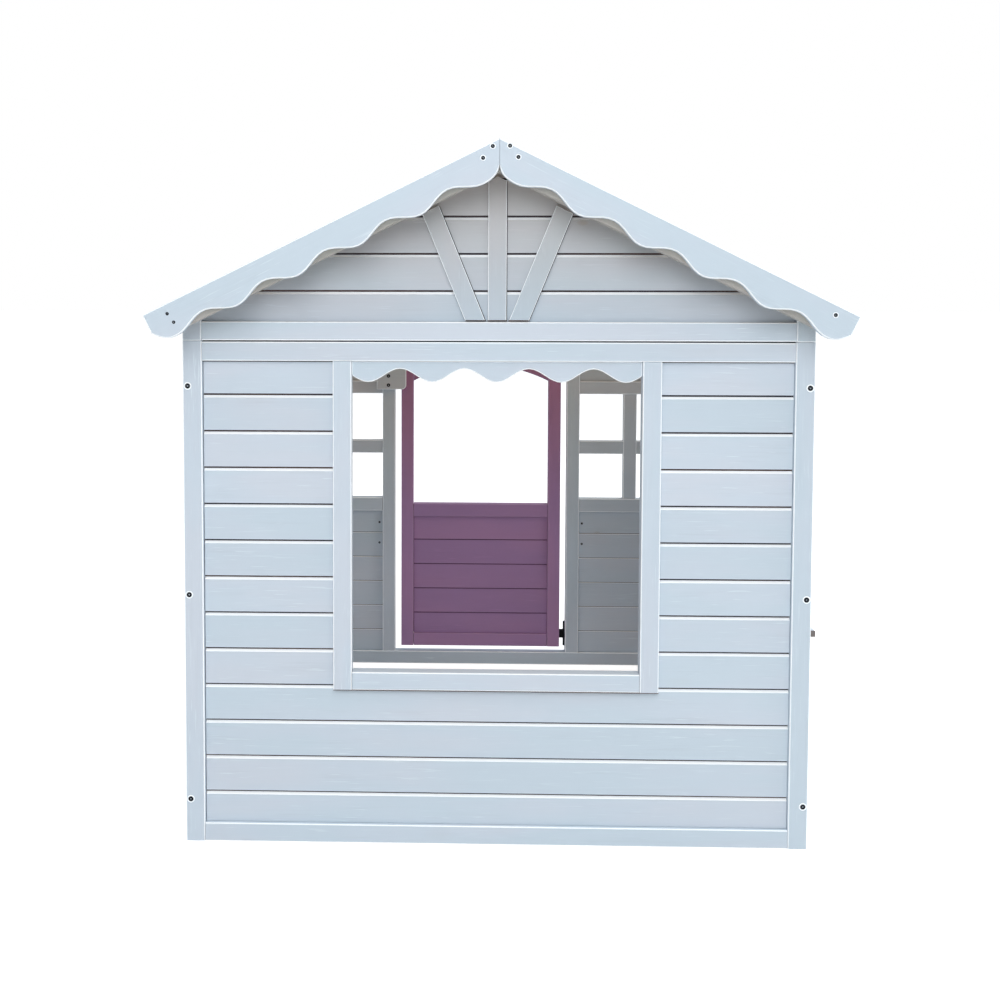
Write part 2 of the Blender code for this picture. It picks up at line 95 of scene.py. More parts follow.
# ---- timbers that are split up or let in ----
HEAD_RAIL = 0.0364  # height of the rail over each of the door wall's windows
LATTICE_RAIL = (0.609, 0.6465)  # lowest and highest point
LATTICE_UPRIGHT = (0.405, 0.442)  # nearest and farthest from the middle of the house
LATTICE_GAP = 0.0002
TROUGH_BOARD = 0.009
CUT_GAP = 0.0004  # between a window post and the boards beside it
FOOT_GAP = 0.0016  # below the post's foot
CUT_MARGIN = 0.02  # how far the window cutter passes through the wall
RAIL_SHRINK = 0.0012  # each side of the open joint between the top rail and the gable rail

# ---- camera ----
CAMERA_PLACE = (-0.0892, FRONT_Y - 2.2103, 1.0694)
CAMERA_YAW = math.radians(1.553)
CAMERA_PITCH = math.radians(2.87)
CAMERA_ROLL = math.radians(-0.091)
FOCAL = 1.1657  # of the sensor's width
CAMERA_SHIFT = (0.0817, -0.1497)


def make_camera():
    data = bpy.data.cameras.new("camera")
    data.sensor_width = 36
    data.lens = FOCAL * data.sensor_width
    data.shift_x, data.shift_y = CAMERA_SHIFT
    eye = bpy.data.objects.new("camera", data)
    turn = Matrix.Rotation(CAMERA_YAW, 4, "Z") @ Matrix.Rotation(math.pi / 2 - CAMERA_PITCH, 4, "X")
    eye.matrix_world = Matrix.Translation(CAMERA_PLACE) @ turn @ Matrix.Rotation(-CAMERA_ROLL, 4, "Z")
    SCENE.collection.objects.link(eye)
    SCENE.camera = eye


make_camera()

# ---- materials ----


class Graph:
    """A short way to build a node material."""

    def __init__(self, name):
        self.material = bpy.data.materials.new(name)
        self.material.use_nodes = True
        self.tree = self.material.node_tree
        self.shader = self.tree.nodes["Principled BSDF"]

    def node(self, kind, values=(), links=(), **settings):
        made = self.tree.nodes.new("ShaderNode" + kind)
        for key, value in settings.items():
            setattr(made, key, value)
        for socket, value in dict(values).items():
            made.inputs[socket].default_value = value
        for socket, source in dict(links).items():
            self.tree.links.new(source, made.inputs[socket])
        return made

    def maths(self, operation, a, b=None):
        made = self.tree.nodes.new("ShaderNodeMath")
        made.operation = operation
        for socket, value in zip(made.inputs, (a, b)):
            if value is None:
                continue
            if isinstance(value, (int, float)):
                socket.default_value = value
            else:
                self.tree.links.new(value, socket)
        return made.outputs[0]

    def mix(self, factor, a, b, blend="MIX"):
        made = self.node("Mix", data_type="RGBA", blend_type=blend)
        for socket, value in zip((made.inputs[0], made.inputs[6], made.inputs[7]), (factor, a, b)):
            if isinstance(value, (int, float)):
                socket.default_value = value
            elif isinstance(value, tuple):
                socket.default_value = (*value, 1.0)
            else:
                self.tree.links.new(value, socket)
        return made.outputs[2]

    def ramp(self, source, *stops):
        made = self.node("ValToRGB", links={"Fac": source})
        band = made.color_ramp
        while len(band.elements) < len(stops):
            band.elements.new(0.5)
        for element, (place, colour) in zip(band.elements, stops):
            element.position = place
            element.color = (*colour, 1.0) if isinstance(colour, tuple) else (colour, colour, colour, 1.0)
        return made.outputs["Color"]

    def output(self, socket, source):
        self.tree.links.new(source, self.shader.inputs[socket])


def grain_turn(along):
    """The turn that brings a grain direction onto the texture's X axis."""
    return Vector(along).rotation_difference(Vector((1, 0, 0))).to_euler()


# Cycles per metre of each noise in the paint: along the grain, then twice across it.
WARP_SCALE = (4, 22, 22)
GRAIN_SCALE = (5, 150, 150)
BRUSH_SCALE = (9, 420, 420)
CLOUD_SCALE = (2.6, 9, 9)
PATCH_SCALE = (6, 26, 26)
STREAK_SCALE = (17, 330, 330)
KNOT_SCALE = (4.2, 8.5, 8.5)
WARP_REACH = (0.0, 0.012, 0.012)  # how far the grain wanders
PIECE_SHIFT, PLANK_SHIFT = 7.0, 13.0  # the pattern's move from piece to piece and from plank to plank
PLANK_DRIFT = 0.16  # how far a plank's own tone leans towards the first or last of the three
PLANK_LIGHTNESS = (0.975, 0.04)  # of the darkest plank, and what the lightest one adds
PALER = 1.45  # the raised streaks against the middle tone
GRAIN_HEIGHT = 0.0006
RELIEF = (0.7, 0.3, 0.5)  # shares of grain and brush marks in the height, and how far the knots sink
SHEEN_SWING = 0.12  # the whole range of the roughness

# Stops of the colour ramps: places in the noise, with the value or the tone that belongs to each.
PATCH_STOPS = ((0.52, 0.25), (0.66, 1.0))  # how much of the grain shows
TONE_PLACES = (0.36, 0.50, 0.64)
LINE_PLACES = (0.30, 0.50, 0.70)
DEEP_LINE = 1.6  # the darkest lines against grain_depth
STREAK_STOPS = ((0.64, 0.0), (0.72, 1.0))
KNOT_STOPS = ((0.0, 1.0), (0.030, 0.85), (0.052, 0.0))  # from the middle of a knot outwards
HALO_STOPS = ((0.02, 1.0), (0.17, 0.0))
KNOT_CHOICE = ((0.62, 0.0), (0.66, 1.0))  # few of the cells hold a knot
HALO_STRENGTH = 0.13
# Strength of the streaks, of the knots and of the relief.
BARE_LOOK = (0.10, 0.85, 0.8)
PAINTED_LOOK = (0.32, 0.40, 0.3)


def painted(name, tones, along, knot, roughness=0.50, grain_depth=0.036, bare=False, shade_band=None):
    """Brushed paint over softwood: grain along the piece, faint knots and slightly uneven colour.

    A shade band is (lowest height, highest height, tint): the paint takes on the tint between the two, a
    painted shade that grows towards the top.
    """
    g = Graph(name)
    streak_strength, knot_strength, relief = BARE_LOOK if bare else PAINTED_LOOK
    pale = tuple(min(1.0, PALER * c) for c in tones[1])
    place = g.node("TexCoord").outputs["Object"]
    own = g.node("ObjectInfo").outputs["Random"]
    plank = g.node("Attribute", attribute_name="plank").outputs["Fac"]
    shift = g.maths("ADD", g.maths("MULTIPLY", own, PIECE_SHIFT), g.maths("MULTIPLY", plank, PLANK_SHIFT))
    turned = g.node("Mapping", {"Rotation": grain_turn(along)}, {"Vector": place}, vector_type="POINT")
    offset = g.node("CombineXYZ", links={"X": shift, "Y": shift, "Z": shift})
    moved = g.node("VectorMath", links={0: turned.outputs[0], 1: offset.outputs[0]}, operation="ADD")
    moved = moved.outputs[0]

    def stretched(scale, source):
        return g.node("Mapping", {"Scale": scale}, {"Vector": source}).outputs[0]

    def noise(scale, detail, source=moved, output="Fac", rough=0.5):
        values = {"Scale": 1.0, "Detail": detail, "Roughness": rough}
        return g.node("TexNoise", values, {"Vector": stretched(scale, source)}).outputs[output]

    warp = noise(WARP_SCALE, 2.0, output="Color")
    bent = g.node("VectorMath", {1: WARP_REACH}, {0: warp}, operation="MULTIPLY").outputs[0]
    wavy = g.node("VectorMath", links={0: moved, 1: bent}, operation="ADD").outputs[0]
    grain = noise(GRAIN_SCALE, 4.0, wavy, rough=0.6)
    brush = noise(BRUSH_SCALE, 2.0)
    cloud = noise(CLOUD_SCALE, 3.0)
    raised = g.ramp(noise(PATCH_SCALE, 2.0), *PATCH_STOPS)
    knot_place = stretched(KNOT_SCALE, moved)
    spots = g.node("TexVoronoi", {"Scale": 1.0, "Randomness": 1.0}, {"Vector": knot_place})
    picked = g.ramp(spots.outputs["Color"], *KNOT_CHOICE)
    knots = g.maths("MULTIPLY", g.ramp(spots.outputs["Distance"], *KNOT_STOPS), picked)
    halo = g.maths("MULTIPLY", g.ramp(spots.outputs["Distance"], *HALO_STOPS), picked)

    lean = g.maths("MULTIPLY", g.maths("SUBTRACT", plank, 0.5), PLANK_DRIFT)
    drift = g.maths("ADD", cloud, lean)
    tint = g.ramp(drift, *zip(TONE_PLACES, tones))
    depths = (1.0 - grain_depth * DEEP_LINE, 1.0, 1.0 - grain_depth)
    lines = g.ramp(grain, *zip(LINE_PLACES, depths))
    toned = g.mix(raised, tint, g.mix(1.0, tint, lines, "MULTIPLY"))
    streaks = g.maths("MULTIPLY", g.ramp(noise(STREAK_SCALE, 1.0), *STREAK_STOPS), raised)
    toned = g.mix(g.maths("MULTIPLY", streaks, streak_strength), toned, pale)
    tone = g.maths("ADD", PLANK_LIGHTNESS[0], g.maths("MULTIPLY", plank, PLANK_LIGHTNESS[1]))
    toned = g.mix(1.0, toned, tone, "MULTIPLY")
    warmed = g.mix(g.maths("MULTIPLY", halo, HALO_STRENGTH), toned, knot)
    colour = g.mix(g.maths("MULTIPLY", knots, knot_strength), warmed, knot)
    if shade_band:
        low, high, shade_tint = shade_band
        height = g.node("SeparateXYZ", links={"Vector": place}).outputs["Z"]
        ranged = g.node("MapRange", {"From Min": low, "From Max": high}, {"Value": height})
        colour = g.mix(ranged.outputs["Result"], colour, g.mix(1.0, colour, shade_tint, "MULTIPLY"))
    g.output("Base Color", colour)
    swing = g.maths("MULTIPLY", cloud, SHEEN_SWING)
    g.output("Roughness", g.maths("ADD", roughness - SHEEN_SWING / 2, swing))

    grain_share, brush_share, knot_sink = RELIEF
    brushed = g.maths("MULTIPLY", brush, brush_share)
    height = g.maths("ADD", g.maths("MULTIPLY", grain, grain_share), brushed)
    height = g.maths("MULTIPLY", height, raised)
    height = g.maths("SUBTRACT", height, g.maths("MULTIPLY", knots, knot_sink))
    bump = g.node("Bump", {"Strength": relief, "Distance": GRAIN_HEIGHT}, {"Height": height})
    g.output("Normal", bump.outputs["Normal"])
    return g.material


WHITE_TONES = ((0.577, 0.665, 0.740), (0.595, 0.666, 0.744), (0.616, 0.666, 0.738))
# painted highlight: a lighter white, which also glows, on rounded edges, board chamfers and the paint rings
# round screws
WHITE_HIGHLIGHT_TONES = ((0.91, 0.95, 0.98), (0.93, 0.96, 0.98), (0.94, 0.96, 0.98))
WHITE_KNOT = (0.42, 0.38, 0.33)
PURPLE_TONES = ((0.385, 0.222, 0.425), (0.407, 0.230, 0.430), (0.432, 0.236, 0.430))
# painted highlight: a lighter purple on the door's rounded edges
PURPLE_HIGHLIGHT_TONES = ((0.43, 0.26, 0.46), (0.45, 0.27, 0.46), (0.47, 0.28, 0.46))
PURPLE_KNOT = (0.20, 0.09, 0.16)
PINE_TONES = ((0.55, 0.36, 0.20), (0.60, 0.40, 0.23), (0.66, 0.46, 0.28))
PINE_KNOT = (0.22, 0.11, 0.05)
# painted shade: near-black paint, with a touch of bare-wood brown, inside the open joints and on the dark
# strips
JOINT_SHADE_TONES = ((0.045, 0.045, 0.060), (0.065, 0.052, 0.060), (0.110, 0.070, 0.060))
# painted shade: near-black purple in the door's joints and beside its stiles
PURPLE_SHADE_TONES = ((0.05, 0.018, 0.045), (0.06, 0.021, 0.05), (0.07, 0.025, 0.05))
# painted shade: a darker purple on the chamfers of the door's boards, for dark joint lines
PURPLE_CHAMFER_SHADE_TONES = ((0.25, 0.13, 0.26), (0.27, 0.14, 0.27), (0.29, 0.15, 0.27))
# a warm grey, darker than the white paint, on the rafters under the eaves
RAFTER_TONES = ((0.44, 0.42, 0.38), (0.48, 0.45, 0.41), (0.53, 0.49, 0.45))
# painted shade: a dark brown-grey on the counter's end faces
COUNTER_END_SHADE_TONES = ((0.16, 0.14, 0.13), (0.19, 0.16, 0.15), (0.22, 0.19, 0.17))
# painted shade: the gables' white is darker all over, for the shade of the roof's overhang
GABLE_SHADE_DARKENING = 0.87
GABLE_SHADED_TONES = tuple(tuple(GABLE_SHADE_DARKENING * c for c in tone) for tone in WHITE_TONES)
HIGHLIGHT_GLOW = ((0.94, 0.97, 1.0, 1.0), 0.09)  # colour and strength of the glow that paints a highlight on the rounded edges
# Painted shade: the heights between which the paint changes, and its tint at the top.
EAVES_PAINTED_SHADE = (1.02, 1.26, (1.05, 0.90, 0.80))  # painted shade under the roof: the gables' paint warms and darkens towards the top
DOOR_WALL_PAINTED_SHADE = (0.30, 0.95, (0.97, 0.91, 0.82))  # painted shade: the door wall's paint also warms and darkens towards the top
DOOR_PAINTED_SHADE = (0.42, 0.86, (0.93, 0.72, 0.64))  # painted shade and warm light: the door's stiles and head redden and darken towards the top
X, Y, Z = (1, 0, 0), (0, 1, 0), (0, 0, 1)
COS, SIN = math.cos(ROOF_ANGLE), math.sin(ROOF_ANGLE)
SLOPES = {-1: (COS, 0, SIN), 1: (COS, 0, -SIN)}

AXES = tuple(zip("xyz", (X, Y, Z)))
SLOPE_AXES = tuple((f"slope_{n}", SLOPES[k]) for n, k in (("l", -1), ("r", 1)))
WHITE = {axis: painted(f"white_paint_{n}", WHITE_TONES, axis, WHITE_KNOT) for n, axis in AXES + SLOPE_AXES}
WHITE_HIGHLIGHT_PAINT = painted("white_paint_with_painted_highlight", WHITE_HIGHLIGHT_TONES, X, WHITE_KNOT)
HIGHLIGHT_SHADER = WHITE_HIGHLIGHT_PAINT.node_tree.nodes["Principled BSDF"]
HIGHLIGHT_SHADER.inputs["Emission Color"].default_value = HIGHLIGHT_GLOW[0]
HIGHLIGHT_SHADER.inputs["Emission Strength"].default_value = HIGHLIGHT_GLOW[1]
GABLE_WHITE_SHADED = {
    axis: painted(f"white_paint_with_painted_eaves_shade_{n}", GABLE_SHADED_TONES, axis, WHITE_KNOT, shade_band=EAVES_PAINTED_SHADE)
    for n, axis in (AXES[0], AXES[2])
}
DOOR_WALL_WHITE_SHADED = {
    axis: painted(f"white_paint_with_painted_door_wall_shade_{n}", WHITE_TONES, axis, WHITE_KNOT, shade_band=DOOR_WALL_PAINTED_SHADE)
    for n, axis in AXES
}
PURPLE = {axis: painted(f"purple_paint_{n}", PURPLE_TONES, axis, PURPLE_KNOT) for n, axis in AXES[::2]}
PURPLE_WITH_PAINTED_SHADE = {
    axis: painted(f"shaded_purple_paint_{n}", PURPLE_TONES, axis, PURPLE_KNOT, shade_band=DOOR_PAINTED_SHADE)
    for n, axis in AXES[::2]
}
PURPLE_HIGHLIGHT_PAINT = painted("purple_paint_with_painted_highlight", PURPLE_HIGHLIGHT_TONES, X, PURPLE_KNOT)
PINE = painted("bare_pine", PINE_TONES, Y, PINE_KNOT, 0.6, 0.16, True)
RAFTER_GREY = painted("warm_grey_rafter_paint", RAFTER_TONES, X, PINE_KNOT)
COUNTER_END_SHADE_PAINT = painted("painted_shade_on_the_counter_end", COUNTER_END_SHADE_TONES, Y, PINE_KNOT, 0.7, 0.1, True)
JOINT_SHADE_PAINT = painted("painted_shade_in_the_joints", JOINT_SHADE_TONES, X, PINE_KNOT, 0.8, 0.1, True)
PURPLE_CHAMFER_SHADE_PAINT = painted("purple_chamfers_with_painted_shade", PURPLE_CHAMFER_SHADE_TONES, X, PURPLE_KNOT)
PURPLE_SHADE_PAINT = painted("dark_joints_in_the_door", PURPLE_SHADE_TONES, X, PURPLE_KNOT, 0.8)

WEAR_SCALE = 40.0
WEAR_PLACES = (0.55, 0.75)
STEEL_SPECULAR = 0.25
STEEL_BUMP = (0.3, 0.0002)  # strength and height
STEEL_SWING = 0.2  # the whole range of the roughness


def coated_steel(name, colour, roughness, metallic, grain):
    """Powder-coated or plated steel, with a fine orange-peel surface and slight rubbing."""
    g = Graph(name)
    place = g.node("TexCoord").outputs["Object"]
    fine = g.node("TexNoise", {"Scale": grain, "Detail": 3.0}, {"Vector": place}).outputs["Fac"]
    patchy = g.node("TexNoise", {"Scale": WEAR_SCALE, "Detail": 4.0}, {"Vector": place}).outputs["Fac"]
    rubbed = tuple(min(1.0, 2.2 * c + 0.02) for c in colour)
    g.output("Base Color", g.ramp(patchy, *zip(WEAR_PLACES, (colour, rubbed))))
    swing = g.maths("MULTIPLY", patchy, STEEL_SWING)
    g.output("Roughness", g.maths("ADD", roughness - STEEL_SWING / 2, swing))
    g.shader.inputs["Metallic"].default_value = metallic
    g.shader.inputs["Specular IOR Level"].default_value = STEEL_SPECULAR
    bump = g.node("Bump", dict(zip(("Strength", "Distance"), STEEL_BUMP)), {"Height": fine})
    g.output("Normal", bump.outputs["Normal"])
    return g.material


BLACK = coated_steel("black_coated_steel", (0.012, 0.012, 0.013), 0.45, 0.4, 1400.0)
ZINC = coated_steel("dark_zinc_screw", (0.007, 0.008, 0.012), 0.55, 0.1, 2400.0)


# ---- pieces ----
def finish_piece(piece, body, slot, *nodes):
    SCENE.collection.objects.link(piece)
    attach(piece, body)
    if nodes:
        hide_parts(*nodes)
    return piece


def mesh_piece(name, work, materials, body="house", slot="white_paint", nodes=(), smooth_angle=None):
    mesh = bpy.data.meshes.new(name)
    bmesh.ops.recalc_face_normals(work, faces=work.faces)
    work.to_mesh(mesh)
    work.free()
    for paint in materials:
        mesh.materials.append(paint)
    if smooth_angle:
        mesh.shade_smooth()
        mesh.set_sharp_from_angle(angle=math.radians(smooth_angle))
    return finish_piece(bpy.data.objects.new(name, mesh), body, slot, *nodes)


def soften(piece, width, edge_paint):
    """Rounds a piece's weighted edges and gives them their own paint: for white and purple pieces a lighter
    paint, a painted highlight.
    """
    bevel = piece.modifiers.new("soft_edges", "BEVEL")
    bevel.width = width
    bevel.segments = BEVEL_STEPS
    bevel.limit_method = "WEIGHT"
    piece.data.materials.append(edge_paint)
    bevel.material = len(piece.data.materials) - 1
    return bevel


def box_shape(low, high):
    """The matrix that makes a unit cube into the box between two corners."""
    return Matrix.Translation((low + high) / 2) @ Matrix.Diagonal((*(high - low), 1))


def timbers(name, boxes, paint, body="house", slot="white_paint", nodes=(), edge=ROUND):
    """Planed timbers, each between its lowest and highest corner, with rounded long edges and sawn ends."""
    work = bmesh.new()
    layer = work.faces.layers.float.new("plank")
    weight = work.edges.layers.float.new("bevel_weight_edge")
    for low, high in boxes:
        low, high = Vector(low), Vector(high)
        size = high - low
        run = max(range(3), key=lambda i: size[i])
        made = bmesh.ops.create_cube(work, size=1.0, matrix=box_shape(low, high))
        tone = random.random()
        for vert in made["verts"]:
            for face in vert.link_faces:
                face[layer] = tone
            for side in vert.link_edges:
                line = side.verts[1].co - side.verts[0].co
                side[weight] = 1.0 if abs(line[run]) > 0.5 * size[run] else 0.0
    piece = mesh_piece(name, work, [paint], body, slot, nodes)
    soften(piece, edge, PURPLE_HIGHLIGHT_PAINT if slot == "purple_paint" else WHITE_HIGHLIGHT_PAINT)
    return piece


FACE, CHAMFERED, JOINT_SIDES, INSIDE = range(4)  # material slots of a run of boards


def section(height, thick, tongue, groove):
    """A shiplap board's section: (depth from outside, height, material of the side that starts there)."""
    mid_out, mid_in = (part * thick for part in TONGUE_FACES)
    points = [(0, 0, FACE)]
    if tongue:
        top = height - SHADOW_GAP
        inner_top = height - INNER_GAP
        points += [(0, top - CHAMFER, CHAMFERED), (CHAMFER_DEPTH, top, JOINT_SIDES), (mid_out, top, JOINT_SIDES)]
        points += [(mid_out, height + TONGUE, JOINT_SIDES), (mid_in, height + TONGUE, JOINT_SIDES)]
        points += [(mid_in, inner_top, JOINT_SIDES)]
        points += [(thick - INNER_CHAMFER, inner_top, CHAMFERED), (thick, inner_top - INNER_CHAMFER, INSIDE)]
    else:
        points += [(0, height, FACE), (thick, height, INSIDE)]
    points += [(thick, 0, JOINT_SIDES)]
    if groove:
        deep = TONGUE + 2 * GROOVE_SLACK
        points += [(mid_in + GROOVE_SLACK, 0, JOINT_SIDES), (mid_in + GROOVE_SLACK, deep, JOINT_SIDES)]
        points += [(mid_out - GROOVE_SLACK, deep, JOINT_SIDES), (mid_out - GROOVE_SLACK, 0, JOINT_SIDES)]
    return points


def boards(name, corner, along, inward, up, length, joints, thick, paints, body="house",
           slot="white_paint", nodes=(), cuts=()):
    """A run of tongued boards. Joints are heights above the corner, from foot to top."""
    work = bmesh.new()
    layer = work.faces.layers.float.new("plank")
    corner, along, inward, up = (Vector(v) for v in (corner, along, inward, up))
    count = len(joints) - 1
    for i in range(count):
        low, high = joints[i], joints[i + 1]
        outline = section(high - low, thick, i < count - 1, i > 0)
        tone = random.random()
        ends = (END_GAP + random.uniform(0, SAW_SLACK), length - random.uniform(0, SAW_SLACK))
        rings = []
        for end in ends:
            start = corner + along * end
            rings.append([work.verts.new(start + inward * d + up * (low + h)) for d, h, _ in outline])
        faces = [work.faces.new(rings[0]), work.faces.new(list(reversed(rings[1])))]
        for j in range(len(outline)):
            k = (j + 1) % len(outline)
            side = work.faces.new((rings[0][j], rings[0][k], rings[1][k], rings[1][j]))
            side.material_index = outline[j][2]
            faces.append(side)
        for face in faces:
            face[layer] = tone
    for point, normal in cuts:
        everything = list(work.verts) + list(work.edges) + list(work.faces)
        bmesh.ops.bisect_plane(work, geom=everything, plane_co=point, plane_no=normal, clear_outer=True)
        bmesh.ops.holes_fill(work, edges=[edge for edge in work.edges if edge.is_boundary])
    return mesh_piece(name, work, paints, body, slot, nodes)


def board_paints(paint, inside=None):
    """The four materials of a run of boards, in the order of their slots."""
    # White chamfers take the painted highlight and purple ones a darker painted shade; the faces inside the
    # joints take painted shade.
    chamfer, joint = (PURPLE_CHAMFER_SHADE_PAINT, PURPLE_SHADE_PAINT) if paint in PURPLE.values() else (WHITE_HIGHLIGHT_PAINT, JOINT_SHADE_PAINT)
    return [paint, chamfer, joint, inside or paint]


def course(low, high, first=FIRST_JOINT, pitch=PITCH):
    """Joint heights above low for boards on the common height grid."""
    grid = [first + pitch * k for k in range(int((high - first) / pitch) + 1)]
    inside = [z for z in grid if low + LEAST_BOARD < z < high - LEAST_BOARD]
    return [z - low for z in (low, *inside, high)]


def wall_boards(name, *nodes, body="house", slot="white_paint", paint=None, first=FIRST_JOINT,
                pitch=PITCH, outward=-1):
    """Boards along X that take the place of CAD board runs."""
    low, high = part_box(nodes[0])
    near = low.y if outward < 0 else high.y
    corner = (low.x, near, low.z)
    joints = course(low.z, high.z, first, pitch)
    return boards(name, corner, X, (0, -outward, 0), Z, high.x - low.x, joints, high.y - low.y,
                  board_paints(paint or WHITE[X]), body, slot, nodes)


def side_boards(name, node, outward):
    low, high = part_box(node)
    near = high.x if outward > 0 else low.x
    corner = (near, low.y, low.z)
    return boards(name, corner, Y, (-outward, 0, 0), Z, high.y - low.y, course(low.z, high.z),
                  high.x - low.x, board_paints(WHITE[Y]), nodes=(node,))


def cut_window(piece, first_post, second_post):
    """Cuts the boards away between the outer sides of two window posts, from the posts' feet upwards."""
    (a, b), (c, d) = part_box(first_post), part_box(second_post)
    low = Vector((min(a.x, c.x), min(a.y, c.y), min(a.z, c.z) - FOOT_GAP))
    high = Vector((max(b.x, d.x), max(b.y, d.y), 2 * WALL_TOP))
    run = 0 if high.x - low.x > high.y - low.y else 1
    low[run] -= CUT_GAP
    high[run] += CUT_GAP
    low[1 - run] -= CUT_MARGIN
    high[1 - run] += CUT_MARGIN
    work = bmesh.new()
    bmesh.ops.create_cube(work, size=1.0, matrix=box_shape(low, high))
    mesh = bpy.data.meshes.new("window_cutter")
    work.to_mesh(mesh)
    work.free()
    cutter = bpy.data.objects.new("window_cutter", mesh)
    SCENE.collection.objects.link(cutter)
    step = piece.modifiers.new("window", "BOOLEAN")
    step.operation = "DIFFERENCE"
    step.solver = "EXACT"
    step.object = cutter
    cut = bpy.data.meshes.new_from_object(piece.evaluated_get(bpy.context.evaluated_depsgraph_get()))
    piece.modifiers.clear()
    piece.data = cut
    bpy.data.objects.remove(cutter)


planks = wall_boards("front_planks", "front_boards")
cut_window(planks, "front_window_post_left", "front_window_post_right")
for side in ("left", "right"):
    wall_boards(f"back_boards_{side}_planks", f"back_boards_{side}", paint=DOOR_WALL_WHITE_SHADED[X], outward=1)
wall_boards("door_planks", "door_boards", body="door", slot="purple_paint", paint=PURPLE[X], first=DOOR_JOINT,
            pitch=DOOR_PITCH, outward=1)
for side, k in (("left", -1), ("right", 1)):
    planks = side_boards(side + "_planks", side + "_boards", k)
    cut_window(planks, f"{side}_window_post_front", f"{side}_window_post_back")


PEAK_MARGIN = 0.02  # how far the uncut gable boards pass above the peak


def gable_planks(name, node, outward):
    low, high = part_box(node)
    near = low.y if outward < 0 else high.y
    peak = Vector((0, 0, high.z))
    cuts = [(peak, (SIN * k, 0, COS)) for k in (-1, 1)]
    grid = [GABLE_JOINT + GABLE_PITCH * k for k in GABLE_JOINTS]
    inside = [z for z in grid if z > low.z + 2 * LEAST_BOARD]
    joints = [z - low.z for z in (low.z, *inside, high.z + PEAK_MARGIN)]
    corner = (low.x, near, low.z)
    return boards(name, corner, X, (0, -outward, 0), Z, high.x - low.x, joints, high.y - low.y,
                  board_paints(GABLE_WHITE_SHADED[X]), nodes=(node,), cuts=cuts)


gable_planks("front_gable_planks", "front_gable_boards", -1)
gable_planks("back_gable_planks", "back_gable_boards", 1)


def window_head(side):
    node = "back_window_head_" + side
    low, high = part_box(node)
    rail_top = low.z + HEAD_RAIL
    rail = (low, (high.x, high.y, rail_top))
    timbers(f"back_head_rail_{side}", [rail], DOOR_WALL_WHITE_SHADED[X], nodes=(node,))
    inset = (high.y - low.y - HEAD_THICKNESS) / 2
    corner = (low.x, high.y - inset, rail_top + HAIR)
    boards(f"back_head_planks_{side}", corner, X, (0, -1, 0), Z, high.x - low.x,
           course(corner[2], high.z), HEAD_THICKNESS, board_paints(DOOR_WALL_WHITE_SHADED[X]), nodes=(node,))


def window_lattice(side, k):
    """Two halved bars, seen as an upright and a crossing rail in two lengths."""
    node = "back_lattice_" + side
    low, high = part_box(node)
    z1, z2 = LATTICE_RAIL
    x1, x2 = sorted(k * x for x in LATTICE_UPRIGHT)
    upright = ((x1, low.y, low.z), (x2, high.y, high.z))
    timbers(f"lattice_upright_{side}", [upright], DOOR_WALL_WHITE_SHADED[Z], nodes=(node,))
    spans = ((low.x, x1 - LATTICE_GAP), (x2 + LATTICE_GAP, high.x))
    bars = [((a, low.y, z1), (b, high.y, z2)) for a, b in spans]
    timbers(f"lattice_bars_{side}", bars, DOOR_WALL_WHITE_SHADED[X], nodes=(node,))


def flower_box(side):
    """A trough of five boards, with the ends let in between front and back."""
    node = "flower_box_" + side
    low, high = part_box(node)
    t = TROUGH_BOARD
    long_boards = [(low, (high.x, low.y + t, high.z)), ((low.x, high.y - t, low.z), high)]
    floor = [((low.x + t, low.y + t, low.z), (high.x - t, high.y - t, low.z + t))]
    timbers(f"flower_box_{side}_long", long_boards + floor, WHITE[X], nodes=(node,), edge=THIN_ROUND)
    ends = [((low.x, low.y + t, low.z), (low.x + t, high.y - t, high.z))]
    ends.append(((high.x - t, low.y + t, low.z), (high.x, high.y - t, high.z)))
    timbers(f"flower_box_{side}_ends", ends, WHITE[Y], nodes=(node,), edge=THIN_ROUND)


for side, k in (("left", -1), ("right", 1)):
    window_head(side)
    window_lattice(side, k)
    flower_box(side)


DECK_RUN_ON = 0.0008  # what the ridge board has over before it is cut plumb


def deck_planks(side, k):
    """Roof boards along the ridge, painted above and bare pine below, with their weather joints open."""
    node = "roof_deck_" + side
    low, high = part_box(node)
    tip_x = high.x if k > 0 else -low.x
    run = (tip_x - HAIR) / COS + DECK_RUN_ON
    down = Vector((-k * SIN, 0, -COS))
    upslope = Vector((-k * COS, 0, SIN))
    eaves = Vector((k * tip_x, low.y, low.z)) - down * DECK_THICKNESS
    eaves.x = k * tip_x
    joints = [DECK_BOARD * i for i in range(DECK_BOARDS)] + [run]
    cut = [((k * HAIR, 0, 0), (-k, 0, 0))]
    return boards("deck_planks_" + side, eaves, Y, down, upslope, high.y - low.y, joints, DECK_THICKNESS,
                  board_paints(WHITE[Y], PINE), nodes=(node,), cuts=cut)


for side, k in (("left", -1), ("right", 1)):
    deck_planks(side, k)


MITRE_REACH = 0.002  # bargeboard edges this close to the middle are the mitre at the ridge


def welded(node):
    """The node's own solid, with its corners joined."""
    work = bmesh.new()
    work.from_mesh(NODES[node].data)
    bmesh.ops.remove_doubles(work, verts=work.verts, dist=WELD)
    return work


